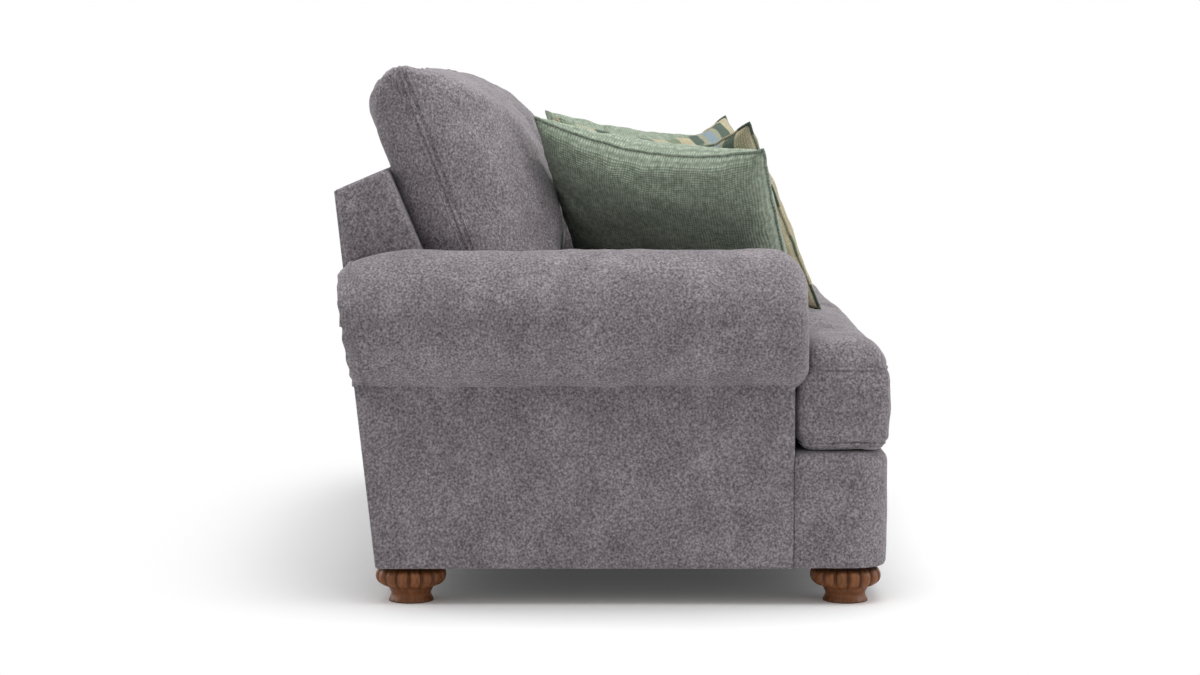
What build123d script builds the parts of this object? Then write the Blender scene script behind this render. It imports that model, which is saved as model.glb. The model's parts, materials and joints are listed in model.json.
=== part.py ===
from build123d import *

import os
from math import cos, hypot, radians, sin, tan

# Overall sizes in millimetres: -Y is the front, +X the right seen from the front, +Z is up
overall_width = 1700.0
overall_depth = 1016.0
foot_height = 68.0
deck_height = 282.0
arm_height = 636.0
outside_back_height = 756.0
back_height = 795.0
outside_back_lean = 6.15
inside_back_lean = 20.7
inside_back_setback = 108.0

# Clearances
soft_gap = 0.3
fit_gap = 0.1

# Covers, panels and padding
cover_thickness = 3.0
core_slack = 0.4
side_panel_thickness = 12.0
back_panel_thickness = 8.0
arm_padding_thickness = 22.0
back_padding_thickness = 38.0
rail_padding_thickness = 20.0
webbing_thickness = 2.0
webbing_width = 50.0
webbing_count = 4

# Arms
arm_roll_radius = 122.0
arm_overhang = 70.0
arm_roll_setback = 153.0
arm_panel_setback = 177.0
arm_roll_rounding = 50.0
arm_rail_size = 60.0

# Front rail
front_rail_setback = 4.0
front_corner_radius = 65.0
front_top_rounding = 22.0

# Hardwood frame
board = 25.0
seat_rail_height = 188.0
corner_block_size = 82.0
corner_block_height = 40.0
stretcher_spacing = 500.0
stretcher_height = 100.0
back_half_width = 700.0
back_top_rail_height = 62.0
lower_rail_height = 60.0
lower_rail_bottom = 330.0

# Seat springs and deck
spring_count = 8
spring_wire_radius = 1.8
spring_width = 56.0
spring_pitch = 38.0
clip_length = 14.0
clip_width = 12.0
clip_height = 6.0
deck_cover_thickness = 2.0
dust_cover_thickness = 1.2
dust_cover_inset = 15.0

# Feet and fasteners
foot_radius = 66.0
foot_top_radius = 57.0
foot_base_radius = 36.5
foot_neck_radius = 39.5
foot_base_height = 25.0
foot_lobes = 16
foot_side_inset = 65.0
front_foot_setback = 78.0
rear_foot_inset = 62.0
bolt_radius = 4.0
bolt_grip = 40.0
nut_radius = 6.0
nut_depth = 12.0
nut_flange_radius = 10.0
nut_flange_thickness = 2.0
screw_radius = 2.5
screw_head_radius = 5.0
screw_head_height = 3.0
screw_length = 90.0
screw_spacing = 36.0

# Seat cushions
seat_side_height = 152.0
seat_crown_rise = 56.0
seat_crown_run = 60.0
seat_dome_rise = 20.0
seat_dome_run = 150.0
seat_dome_tuck = 4.0
seat_edge_tuck = 14.0
seat_seam_tuck = 4.0
seat_corner_radius = 20.0
seat_draw_share = 0.008

# Back cushions
back_cushion_height = 548.0
back_cushion_half_width = 694.0
back_cushion_front_depth = 187.0
back_cushion_rear_depth = 73.0
back_cushion_rear_tuck = 0.16
back_cushion_corner = 36.0
back_cushion_draw_share = 0.015
back_crown_power = 0.65

# Throw pillows
pillow_size = 470.0
pillow_thickness = 140.0
pillow_corner = 14.0
pillow_draw_share = 0.001
pillow_crown_power = 0.75
plain_pillow_turn = 60.0
plain_pillow_lean = 45.0
plain_pillow_roll = 10.0
plain_pillow_arm_gap = 151.0
plain_pillow_forward = 200.0
striped_pillow_turn = 55.0
striped_pillow_lean = 36.0
striped_pillow_roll = 0.0
striped_pillow_middle_gap = 340.0
striped_pillow_forward = 300.0
pillow_start_height = 860.0
pillow_hover = 60.0
pillow_rest = 1.3

# Steps of the formulas
crown_scales = (0.95, 0.84, 0.66, 0.4, 0.1)
quarter_angles = (0.0, 22.5, 45.0, 67.5, 90.0)
settle_steps = 60
settle_tolerance = 0.05
settle_caution = 0.7
side_shares = (0.25, 0.5, 0.75)
facet_shares = (0.0, 0.25, 0.5, 0.75)

# Places that follow from the sizes
front = -overall_depth / 2
rear = overall_depth / 2
side_half = overall_width / 2 - arm_overhang
roll_x = overall_width / 2 - arm_roll_radius
roll_z = arm_height - arm_roll_radius
arm_inner = roll_x - arm_roll_radius
roll_front = front + arm_roll_setback
panel_front = front + arm_panel_setback
panel_inner = side_half - side_panel_thickness
rail_top = foot_height + seat_rail_height
rail_front_face = front + front_rail_setback
rail_padding_depth = cover_thickness + soft_gap + rail_padding_thickness
front_board_y = rail_front_face + rail_padding_depth + soft_gap
front_board_half = side_half - front_corner_radius
deck_cover_bottom = deck_height - deck_cover_thickness
spring_z = rail_top + clip_height / 2
insulator_bottom = spring_z + spring_wire_radius + soft_gap
inside_back_top = rear - inside_back_setback
arm_core_radius = arm_roll_radius - cover_thickness - arm_padding_thickness
arm_core_inner = arm_inner + cover_thickness + arm_padding_thickness
board_front = panel_front + cover_thickness + arm_padding_thickness
foot_x = side_half - foot_side_inset
back_lean_up = Vector(0, sin(radians(inside_back_lean)), cos(radians(inside_back_lean)))
back_lean_front = Vector(0, -cos(radians(inside_back_lean)), sin(radians(inside_back_lean)))


def outside_back_y(z):
    """Depth of the outside back plane at a height."""
    return rear - (outside_back_height - z) * tan(radians(outside_back_lean))


def inside_back_y(z):
    """Depth of the inside back plane, which the back cushions lean on, at a height."""
    return inside_back_top - (back_height - z) * tan(radians(inside_back_lean))


rear_foot_y = outside_back_y(foot_height) - rear_foot_inset
front_foot_y = front + front_foot_setback
seat_rear = inside_back_y(deck_height) - soft_gap
back_rail_y = inside_back_y(rail_top)
frame_rear_gap = back_panel_thickness + soft_gap


def block(x_range, y_range, z_range):
    """Box between two planes along each axis."""
    size = [high - low for low, high in (x_range, y_range, z_range)]
    middle = [(high + low) / 2 for low, high in (x_range, y_range, z_range)]
    return Pos(*middle) * Box(*size)


def side_profile(outline, x_range):
    """Solid with one (y, z) outline between two x planes."""
    low, high = x_range
    wire = Wire.make_polygon([(low, y, z) for y, z in outline], close=True)
    return Solid.extrude(Face(wire), Vector(high - low, 0, 0))


def rod(radius, start, end):
    """Round bar between two points."""
    start = Vector(*start)
    direction = Vector(*end) - start
    plane = Plane(origin=start, z_dir=direction)
    return Solid.make_cylinder(radius, direction.length, plane)


def both_sides(piece):
    """The piece and its mirror image across the middle of the seat."""
    return [piece, mirror(piece, about=Plane.YZ)]


def soft_outline(corners, radius, draw_share, height):
    """Points of an outline with rounded corners, whose sides are drawn in by a share of their length."""
    count = len(corners)
    rounded = []
    for index, corner in enumerate(corners):
        before = (corners[index - 1] - corner).normalized()
        after = (corners[(index + 1) % count] - corner).normalized()
        half_angle = radians(before.get_angle(after)) / 2
        reach = radius / tan(half_angle)
        middle = corner + (before + after).normalized() * (radius / sin(half_angle) - radius)
        rounded.append((corner + before * reach, middle, corner + after * reach))
    points = []
    for index, bend in enumerate(rounded):
        points += bend
        side = rounded[(index + 1) % count][0] - bend[-1]
        inwards = Vector(-side.Y, side.X, 0)
        for share in side_shares:
            points.append(bend[-1] + side * share + inwards * draw_share * 4 * share * (1 - share))
    return [Vector(point.X, point.Y, height) for point in points]


def cushion_solid(sections):
    """Closed solid with flat facets from each outline to the next."""
    faces = [Face(Wire.make_polygon(sections[0])), Face(Wire.make_polygon(sections[-1]))]
    for low, high in zip(sections, sections[1:]):
        for index, point in enumerate(low):
            following = (index + 1) % len(low)
            facet = [point, low[following], high[following], high[index]]
            faces.append(Face(Wire.make_polygon(facet)))
    return Solid(Shell(faces))


def rectangle_corners(width, height):
    """Corners of a rectangle about the origin, anticlockwise."""
    x = width / 2
    y = height / 2
    return [Vector(-x, -y), Vector(x, -y), Vector(x, y), Vector(-x, y)]


def crown_share(scale, power):
    """Share of the full crown that a cushion reaches where its outline has shrunk to a scale."""
    return (1 - scale ** 2) ** power


def outline_points(sections, plane):
    """Points over the sides of a cushion, once it lies on a plane."""
    points = list(sections[-1])
    for low, high in zip(sections, sections[1:]):
        for share in facet_shares:
            points += [start + (end - start) * share for start, end in zip(low, high)]
    return [plane.from_local_coords(point) for point in points]


def settled(points, supports, direction, rest_gap):
    """Offset along a direction that brings points to rest a gap away from their supports."""
    offset = Vector(0, 0, 0)
    for _ in range(settle_steps):
        gap = min(support(point + offset) for point in points for support in supports) - rest_gap
        if gap < settle_tolerance:
            break
        offset = offset + direction * gap
    return offset


# Feet: a fluted bun on a plain turned base, bored for its bolt
def lobed_section(radius, height):
    """Outline of a fluted turning: shallow lobes that meet in sharp grooves."""
    step = 360 / foot_lobes
    groove = radius * cos(radians(step / 2)) - radius * (1 - cos(radians(step / 2)))
    edges = []
    for lobe in range(foot_lobes):
        ends = [Vector(groove, 0).rotate(Axis.Z, (lobe + side) * step) for side in (0, 1)]
        crest = Vector(radius, 0).rotate(Axis.Z, (lobe + 0.5) * step)
        edges.append(Edge.make_three_point_arc(ends[0], crest, ends[1]))
    return Wire(edges).moved(Location((0, 0, height)))


def foot_form():
    """One foot, standing on the origin."""
    bun_height = foot_height - foot_base_height
    widest = foot_base_height + bun_height * 0.55
    sections = []
    for angle in (-75.0, -45.0, 0.0, 40.0, 65.0):
        below = angle < 0
        reach = (widest - foot_base_height) if below else (foot_height - widest)
        start_radius = foot_neck_radius if below else foot_top_radius - (foot_radius - foot_top_radius)
        share = sin(radians(angle)) / sin(radians(75.0 if below else 65.0))
        radius = start_radius + (foot_radius - start_radius) * cos(radians(angle))
        sections.append(lobed_section(radius, widest + reach * share))
    bun = Solid.make_loft(sections)
    base = Solid.make_cone(foot_base_radius, foot_neck_radius, foot_base_height)
    hole = Pos(0, 0, foot_height - bolt_grip) * Solid.make_cylinder(bolt_radius + fit_gap, bolt_grip)
    return base.fuse(bun) - hole


foot_places = {
    "front_left_foot": (-foot_x, front_foot_y),
    "front_right_foot": (foot_x, front_foot_y),
    "rear_left_foot": (-foot_x, rear_foot_y),
    "rear_right_foot": (foot_x, rear_foot_y),
}
foot = foot_form()
nodes = {name: Pos(x, y, 0) * foot for name, (x, y) in foot_places.items()}

block_top = foot_height + corner_block_height
bolts = []
nuts = []
for x, y in foot_places.values():
    bolts.append(rod(bolt_radius, (x, y, foot_height - bolt_grip + fit_gap), (x, y, block_top)))
    barrel = rod(nut_radius, (x, y, block_top - nut_depth), (x, y, block_top))
    flange = rod(nut_flange_radius, (x, y, block_top), (x, y, block_top + nut_flange_thickness))
    bore = rod(bolt_radius + fit_gap, (x, y, foot_height), (x, y, block_top + board))
    nuts.append(barrel + flange - bore)
nodes["foot_bolts"] = Compound(bolts)
nodes["foot_t_nuts"] = Compound(nuts)

# Base frame: seat rails, stretchers and the corner blocks that take the feet
rail_rear_y = front_board_y + board
side_rail_inner = panel_inner - soft_gap - board
rail_heights = (foot_height, rail_top)


def frame_rear(z):
    """Rear limit of the frame at a height, inside the outside back panel."""
    return outside_back_y(z) - frame_rear_gap


front_block = block(
    (-side_rail_inner, -side_rail_inner + corner_block_size),
    (rail_rear_y, panel_front + board),
    (foot_height, block_top),
)
rear_block = block(
    (-side_rail_inner, -side_rail_inner + corner_block_size),
    (rear_foot_y - corner_block_size / 2, frame_rear(foot_height)),
    (foot_height, block_top),
)
left_side_rail = side_profile(
    [
        (panel_front, foot_height),
        (frame_rear(foot_height), foot_height),
        (frame_rear(rail_top), rail_top),
        (panel_front, rail_top),
    ],
    (-side_rail_inner - board, -side_rail_inner),
)
screws = []
for screw_y in (panel_front + board / 2, rear_foot_y - screw_spacing, rear_foot_y + screw_spacing / 2):
    screw_z = foot_height + corner_block_height / 2
    tip = -side_rail_inner - board / 2
    screws.append((tip, tip + screw_length, screw_y, screw_z))


def screw_solid(place, gap):
    """Countersunk frame screw, grown by a gap where it is used as a hole."""
    tip, head, y, z = place
    shank = rod(screw_radius + gap, (tip - gap, y, z), (head, y, z))
    cap = rod(screw_head_radius + gap, (head, y, z), (head + screw_head_height + gap, y, z))
    return shank + cap


screw_holes = [screw_solid(place, fit_gap) for place in screws]
bolt_holes = []
for x, y in foot_places.values():
    bolt_holes.append(rod(bolt_radius + fit_gap, (x, y, foot_height - 1), (x, y, block_top + 1)))
    bolt_holes.append(rod(nut_radius + fit_gap, (x, y, block_top - nut_depth - fit_gap), (x, y, block_top + 1)))
left_blocks = [piece - bolt_holes - screw_holes for piece in (front_block, rear_block)]
left_side_rail = left_side_rail - screw_holes
left_screws = [screw_solid(place, 0) for place in screws]
nodes["corner_blocks"] = Compound([copy for piece in left_blocks for copy in both_sides(piece)])
nodes["frame_screws"] = Compound([copy for piece in left_screws for copy in both_sides(piece)])
nodes["left_side_rail"], nodes["right_side_rail"] = both_sides(left_side_rail)
nodes["front_seat_rail"] = block(
    (-front_board_half, front_board_half), (front_board_y, rail_rear_y), rail_heights
)
nodes["back_seat_rail"] = block(
    (-side_rail_inner, side_rail_inner), (back_rail_y, back_rail_y + board), rail_heights
)
stretchers = []
for x in (-stretcher_spacing / 2, stretcher_spacing / 2):
    stretchers.append(
        block((x - board / 2, x + board / 2), (rail_rear_y, back_rail_y),
              (foot_height, foot_height + stretcher_height))
    )
nodes["seat_stretchers"] = Compound(stretchers)

# Seat springs: one zigzag wire after the other, held in clips on the rails
spring_ends = (front_board_y + board / 2, back_rail_y + board / 2)
spring_turns = int((spring_ends[1] - spring_ends[0]) / spring_pitch)
spring_step = (spring_ends[1] - spring_ends[0]) / spring_turns


def spring_wire():
    """One sinuous spring along Y at x = 0: straight cross runs joined by half turns."""
    half = spring_width / 2
    points = [(0, spring_ends[0], spring_z)]
    for turn in range(spring_turns):
        x = half if turn % 2 == 0 else -half
        points.append((x, spring_ends[0] + turn * spring_step, spring_z))
        points.append((x, spring_ends[0] + (turn + 1) * spring_step, spring_z))
    points.append((0, spring_ends[1], spring_z))
    path = FilletPolyline(*points, radius=spring_step * 0.45)
    section = Plane(origin=path @ 0, z_dir=path % 0) * Circle(spring_wire_radius)
    return sweep(section, path=path)


spring = spring_wire()
spring_span = 2 * (arm_inner - spring_width)
spring_xs = [spring_span * (index / (spring_count - 1) - 0.5) for index in range(spring_count)]
nodes["seat_springs"] = Compound([Pos(x, 0, 0) * spring for x in spring_xs])
clips = []
for x in spring_xs:
    for end, y in enumerate(spring_ends):
        outwards = 1 if end == 0 or spring_turns % 2 == 1 else -1
        middle = x + outwards * clip_length / 4
        body = block((middle - clip_length / 2, middle + clip_length / 2),
                     (y - clip_width / 2, y + clip_width / 2),
                     (rail_top, rail_top + clip_height))
        hole = rod(spring_wire_radius + fit_gap, (x - clip_length, y, spring_z), (x + clip_length, y, spring_z))
        clips.append(body - hole)
nodes["spring_clips"] = Compound(clips)

# Seat deck: insulator pad and deck cloth on the springs, dust cloth under the frame
deck_half = arm_inner - soft_gap
deck_front = panel_front + soft_gap
deck_rear = inside_back_y(insulator_bottom) - soft_gap
nodes["seat_insulator"] = block(
    (-deck_half, deck_half), (deck_front, deck_rear), (insulator_bottom, deck_cover_bottom)
)
nodes["seat_deck_cover"] = block(
    (-deck_half, deck_half), (deck_front, deck_rear), (deck_cover_bottom, deck_height)
)
dust_half = side_rail_inner + board / 2
dust_rear = frame_rear(foot_height) - dust_cover_inset
dust_cover = block(
    (-dust_half, dust_half), (panel_front + dust_cover_inset, dust_rear),
    (foot_height - dust_cover_thickness, foot_height)
) + block(
    (-front_board_half, front_board_half), (front_board_y, panel_front + dust_cover_inset),
    (foot_height - dust_cover_thickness, foot_height)
)
foot_clear = [rod(foot_radius + 1, (x, y, 0), (x, y, foot_height)) for x, y in foot_places.values()]
nodes["dust_cover"] = dust_cover - foot_clear


# Front rail: padding and cover bent round the corners and over the top edge
def front_rail_form(inset, top, bottom, rounding):
    """Block with rounded front corners and a rounded top edge, drawn in by an inset."""
    half = side_half - inset
    front_y = rail_front_face + inset
    radius = front_corner_radius - inset
    corners = [(-half, panel_front), (-half, front_y), (half, front_y), (half, panel_front)]
    outline = make_face(Polyline(*corners, close=True))
    outline = fillet(outline.vertices().group_by(Axis.Y)[0], radius)
    form = extrude(Pos(0, 0, bottom) * outline, amount=top - bottom)
    top_edges = form.faces().sort_by(Axis.Z)[-1].edges().sort_by(Axis.Y)[:-1]
    return fillet(top_edges, rounding)


inner_rounding = front_top_rounding - cover_thickness
cover_inset = cover_thickness + soft_gap
rail_core_top = rail_top + clip_height + soft_gap
rail_outer = front_rail_form(0, deck_height, foot_height, front_top_rounding)
rail_inner = front_rail_form(cover_thickness, deck_height - cover_thickness, 0, inner_rounding)
rail_pad = front_rail_form(cover_inset, deck_height - cover_inset, foot_height, inner_rounding)
rail_core = front_rail_form(rail_padding_depth, rail_core_top, 0, clip_height / 2)
nodes["front_rail_cover"] = rail_outer - rail_inner
nodes["front_rail_padding"] = rail_pad - rail_core


def behind_back(inset):
    """Everything behind the outside back plane, moved forwards by an inset."""
    outline = [
        (outside_back_y(0) - inset, 0),
        (overall_depth, 0),
        (overall_depth, overall_depth),
        (outside_back_y(overall_depth) - inset, overall_depth),
    ]
    return side_profile(outline, (-overall_width, overall_width))


# Arms: boards and a top rail inside, padding over them, the cover over all
def arm_form(inset, bottom, outer):
    """Left arm as a roll over an upright, drawn in by an inset on the sides that show."""
    radius = arm_roll_radius - inset
    roll = rod(radius, (-roll_x, roll_front + inset, roll_z), (-roll_x, rear, roll_z))
    front_edge = roll.edges().filter_by(GeomType.CIRCLE).sort_by(Axis.Y)[0]
    roll = roll.fillet(arm_roll_rounding - inset / 2, [front_edge])
    upright = side_profile(
        [
            (panel_front + inset, bottom),
            (frame_rear(bottom), bottom),
            (frame_rear(roll_z), roll_z),
            (panel_front + inset, roll_z),
        ],
        (-outer, -arm_inner - inset),
    )
    return roll - behind_back(max(inset, 0)) + upright


arm_bottom = rail_top + soft_gap
arm_outer = arm_form(0, arm_bottom, panel_inner - soft_gap)
arm_cavity = arm_form(cover_thickness, arm_bottom - 1, panel_inner)
arm_pad = arm_form(cover_thickness + soft_gap, arm_bottom, panel_inner - soft_gap)
arm_core = rod(arm_core_radius, (-roll_x, board_front, roll_z), (-roll_x, rear, roll_z)) + block(
    (-panel_inner, -arm_core_inner), (board_front, rear), (arm_bottom - 1, roll_z)
)
left_arm_cover = arm_outer - arm_cavity
left_arm_padding = arm_pad - arm_core


def arm_board(y):
    """Round-headed board across the arm, standing on the side rail."""
    head = rod(arm_core_radius - soft_gap, (-roll_x, y, roll_z), (-roll_x, y + board, roll_z))
    stem = block(
        (-panel_inner + soft_gap, -arm_core_inner - soft_gap), (y, y + board), (rail_top, roll_z)
    )
    return head + stem


rear_board_y = frame_rear(rail_top) - board
front_board = arm_board(board_front + soft_gap)
rear_board = arm_board(rear_board_y)
half_rail = arm_rail_size / 2
arm_rail = block(
    (-roll_x - half_rail, -roll_x + half_rail),
    (board_front + soft_gap + board, rear_board_y),
    (roll_z - half_rail, roll_z + half_rail),
)
roll_clear = rod(arm_roll_radius + soft_gap, (-roll_x, front, roll_z), (-roll_x, rear, roll_z))
side_panel = side_profile(
    [
        (panel_front, foot_height),
        (outside_back_y(foot_height), foot_height),
        (outside_back_y(roll_z), roll_z),
        (panel_front, roll_z),
    ],
    (-side_half, -panel_inner),
) - roll_clear
for name, piece in (
    ("arm_cover", left_arm_cover),
    ("arm_padding", left_arm_padding),
    ("arm_front_board", front_board),
    ("arm_rear_board", rear_board),
    ("arm_top_rail", arm_rail),
    ("side_panel", side_panel),
):
    nodes["left_" + name], nodes["right_" + name] = both_sides(piece)

# Back: posts and rails, webbing, padding, inside cover and outside panel
arm_clear = roll_clear + block(
    (-overall_width, -arm_inner + soft_gap), (front, rear), (0, roll_z)
)
arm_clears = both_sides(arm_clear)


def back_form(inset, bottom, rear_gap):
    """Padded back between and above the arms, drawn in by an inset on the sides that show."""
    slope = inset / cos(radians(inside_back_lean))
    outline = [
        (inside_back_y(bottom) + slope, bottom),
        (outside_back_y(bottom) - rear_gap, bottom),
        (outside_back_y(outside_back_height - inset) - rear_gap, outside_back_height - inset),
        (inside_back_y(back_height - inset) + slope, back_height - inset),
    ]
    half = back_half_width - inset
    return side_profile(outline, (-half, half))


back_bottom = rail_top + soft_gap
webbing_depth = cover_thickness + back_padding_thickness + 2 * soft_gap
core_depth = webbing_depth + webbing_thickness
back_outer = back_form(0, deck_height, frame_rear_gap)
back_cavity = back_form(cover_thickness, deck_height - 1, 0)
back_pad = back_form(cover_thickness + soft_gap, deck_height, frame_rear_gap)
back_core = back_form(cover_thickness + back_padding_thickness + soft_gap, deck_height - 1, 0)
nodes["back_cover"] = back_outer - back_cavity - arm_clears
nodes["back_padding"] = back_pad - back_core - arm_clears
panel_lower = side_profile(
    [
        (outside_back_y(foot_height) - back_panel_thickness, foot_height),
        (outside_back_y(foot_height), foot_height),
        (outside_back_y(roll_z), roll_z),
        (outside_back_y(roll_z) - back_panel_thickness, roll_z),
    ],
    (-panel_inner + soft_gap, panel_inner - soft_gap),
)
panel_upper = side_profile(
    [
        (outside_back_y(roll_z) - back_panel_thickness, roll_z),
        (outside_back_y(roll_z), roll_z),
        (rear, outside_back_height),
        (rear - back_panel_thickness, outside_back_height),
    ],
    (-back_half_width, back_half_width),
)
roll_clears = both_sides(roll_clear)
nodes["outside_back_panel"] = panel_lower + panel_upper - roll_clears


def back_board(z_range, x_range, depth):
    """Leaning board between the webbing plane and the outside panel, at most a depth thick."""
    outline = []
    for z in z_range:
        outline.append((max(inside_core_y(z), frame_rear(z) - depth), z))
    for z in reversed(z_range):
        outline.append((frame_rear(z), z))
    return side_profile(outline, x_range)


def inside_core_y(z):
    """Front limit of the back's boards at a height, behind the webbing."""
    return inside_back_y(z) + core_depth / cos(radians(inside_back_lean))


core_top = outside_back_height - cover_thickness - back_padding_thickness - soft_gap
top_rail_bottom = core_top - back_top_rail_height
post_outer = arm_inner - soft_gap
post_depth = outside_back_y(rail_top) - back_rail_y - board - frame_rear_gap


def back_post(x_range):
    """Upright post behind the back seat rail."""
    foot_part = side_profile(
        [
            (back_rail_y + board, foot_height),
            (frame_rear(foot_height), foot_height),
            (frame_rear(rail_top), rail_top),
            (back_rail_y + board, rail_top),
        ],
        x_range,
    )
    return foot_part + back_board((rail_top, top_rail_bottom), x_range, post_depth)


left_post = back_post((-post_outer, -post_outer + board))
nodes["left_back_post"], nodes["right_back_post"] = both_sides(left_post)
nodes["back_center_post"] = back_post((-board / 2, board / 2))
top_rail_half = back_half_width - cover_thickness - back_padding_thickness - 2 * soft_gap
top_rail_z = (top_rail_bottom, core_top)
nodes["back_top_rail"] = back_board(top_rail_z, (-top_rail_half, top_rail_half), overall_depth)
lower_rail_z = (lower_rail_bottom, lower_rail_bottom + lower_rail_height)
lower_rail = back_board(lower_rail_z, (-post_outer + board, -board / 2), board)
nodes["back_lower_rails"] = Compound(both_sides(lower_rail))


def webbing_strap(z):
    """Strap across the front of the back posts, centred on a height."""
    rise = webbing_width * cos(radians(inside_back_lean)) / 2
    near = webbing_depth / cos(radians(inside_back_lean))
    far = (core_depth - soft_gap / 2) / cos(radians(inside_back_lean))
    low = z - rise
    high = z + rise
    outline = [
        (inside_back_y(low) + near, low),
        (inside_back_y(low) + far, low),
        (inside_back_y(high) + far, high),
        (inside_back_y(high) + near, high),
    ]
    return side_profile(outline, (-post_outer, post_outer))


webbing_pitch = (top_rail_bottom - deck_height) / webbing_count
nodes["back_webbing"] = Compound(
    [webbing_strap(deck_height + webbing_pitch * (index + 0.5)) for index in range(webbing_count)]
)


# Seat cushions: a boxed side, a steep crown and a low dome, with an ear in front of the arm
def seat_corners(inset, with_ear):
    """Plan corners of the left seat cushion, drawn in by an inset, anticlockwise."""
    inner = -soft_gap - inset
    outer = -arm_inner + soft_gap + inset
    front_y = front + inset
    rear_y = seat_rear - inset
    corners = [Vector(inner, front_y), Vector(inner, rear_y), Vector(outer, rear_y)]
    if with_ear:
        notch = panel_front - soft_gap - inset
        ear = -side_half + inset
        corners += [Vector(outer, notch), Vector(ear, notch), Vector(ear, front_y)]
    else:
        corners += [Vector(outer, front_y)]
    return corners


def quarter_levels(first, run, base, rise, angles):
    """Insets and heights of a quarter ellipse that climbs from a seam towards a crown."""
    levels = []
    for angle in angles:
        levels.append((first + run * (1 - cos(radians(angle))), base + rise * sin(radians(angle))))
    return levels


seat_bottom = deck_height + soft_gap
seat_seam = seat_bottom + seat_side_height
seat_side_levels = [
    (seat_edge_tuck, seat_bottom),
    (seat_seam_tuck, seat_bottom + seat_edge_tuck),
    (0.0, (seat_bottom + seat_seam) / 2),
]
seat_crown_levels = quarter_levels(
    seat_seam_tuck, seat_crown_run, seat_seam, seat_crown_rise, quarter_angles[:-1]
)
dome_inset, dome_height = seat_crown_levels[-1]
seat_dome_levels = [(dome_inset + seat_dome_tuck, dome_height)] + quarter_levels(
    seat_seam_tuck + seat_crown_run, seat_dome_run, seat_seam + seat_crown_rise, seat_dome_rise,
    quarter_angles[2:-1],
)


def seat_form(skin):
    """Left seat cushion, drawn in all round by the thickness of its cover."""
    sections = []
    for inset, height in seat_side_levels + seat_crown_levels:
        level = max(height, seat_bottom + skin) - (skin if height >= seat_seam else 0)
        corners = seat_corners(inset + skin, True)
        sections.append(soft_outline(corners, seat_corner_radius, seat_draw_share, level))
    dome = []
    for inset, height in seat_dome_levels:
        corners = seat_corners(inset + skin, False)
        dome.append(soft_outline(corners, seat_corner_radius, seat_draw_share, height - skin))
    return cushion_solid(sections) + cushion_solid(dome)


def above_seat(point):
    """Height of a point above the left seat cushion, with some caution for its slope."""
    inset = min(
        -soft_gap - point.X, point.X + arm_inner - soft_gap, point.Y - front, seat_rear - point.Y
    )
    levels = seat_crown_levels + seat_dome_levels
    top = levels[0][1] if inset < levels[0][0] else levels[-1][1]
    for (low_inset, low), (high_inset, high) in zip(levels, levels[1:]):
        if low_inset <= inset < high_inset:
            top = low + (high - low) * (inset - low_inset) / (high_inset - low_inset)
    return (point.Z - top) * settle_caution


def beside_arm(point):
    """Distance of a point from the left arm."""
    if point.Z < roll_z:
        return point.X + arm_inner
    return hypot(point.X + roll_x, point.Z - roll_z) - arm_roll_radius


def arm_room(gap):
    """Space of the left arm with a gap all round it."""
    return arm_form(-gap, 0, side_half)


cover_gap = soft_gap + cover_thickness
core_gap = cover_gap + soft_gap
seat_core_gap = cover_gap + core_slack
seat_outer = seat_form(0) - arm_room(soft_gap)
seat_cover = seat_outer - (seat_form(cover_thickness) - arm_room(cover_gap))
seat_core = seat_form(seat_core_gap) - arm_room(core_gap + core_slack)
nodes["left_seat_cushion_cover"], nodes["right_seat_cushion_cover"] = both_sides(seat_cover)
nodes["left_seat_cushion_core"], nodes["right_seat_cushion_core"] = both_sides(seat_core)


# Back cushions: crowned, flat where they lean on the back, cut to sit over the arms
def back_cushion_sections(skin):
    """Outlines of the left back cushion about its seam plane, drawn in by its cover."""
    width = back_cushion_half_width - soft_gap - 2 * skin
    corners = rectangle_corners(width, back_cushion_height - 2 * skin)
    levels = []
    for angle in reversed(quarter_angles[1:]):
        scale = 1 - back_cushion_rear_tuck * (1 - cos(radians(angle)))
        levels.append((scale, -(back_cushion_rear_depth - skin) * sin(radians(angle))))
    levels.append((1.0, 0.0))
    for scale in crown_scales:
        rise = (back_cushion_front_depth - skin) * crown_share(scale, back_crown_power)
        levels.append((scale, rise))
    sections = []
    for scale, height in levels:
        scaled = [corner * scale for corner in corners]
        sections.append(
            soft_outline(scaled, back_cushion_corner * scale, back_cushion_draw_share, height)
        )
    return sections


cushion_z = back_height + back_cushion_height / 4
cushion_start = Vector(
    -(back_cushion_half_width + soft_gap) / 2, inside_back_y(cushion_z), cushion_z
) + back_lean_front * (back_cushion_rear_depth + soft_gap)
cushion_plane = Plane(origin=cushion_start, x_dir=(1, 0, 0), z_dir=back_lean_front)
cushion_points = outline_points(back_cushion_sections(0), cushion_plane)
cushion_drop = settled(cushion_points, [above_seat], back_lean_up * -1, 2 * soft_gap)
cushion_plane = Plane(
    origin=cushion_start + cushion_drop, x_dir=(1, 0, 0), z_dir=back_lean_front
)
cushion_outer, cushion_cavity, cushion_insert = [
    cushion_solid(back_cushion_sections(skin)).moved(cushion_plane.location)
    for skin in (0, cover_thickness, cover_gap)
]
back_cushion_cover = cushion_outer - arm_room(soft_gap) - (cushion_cavity - arm_room(cover_gap))
back_cushion_insert = cushion_insert - arm_room(core_gap)
nodes["left_back_cushion_cover"], nodes["right_back_cushion_cover"] = both_sides(back_cushion_cover)
nodes["left_back_cushion_insert"], nodes["right_back_cushion_insert"] = both_sides(back_cushion_insert)


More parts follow.
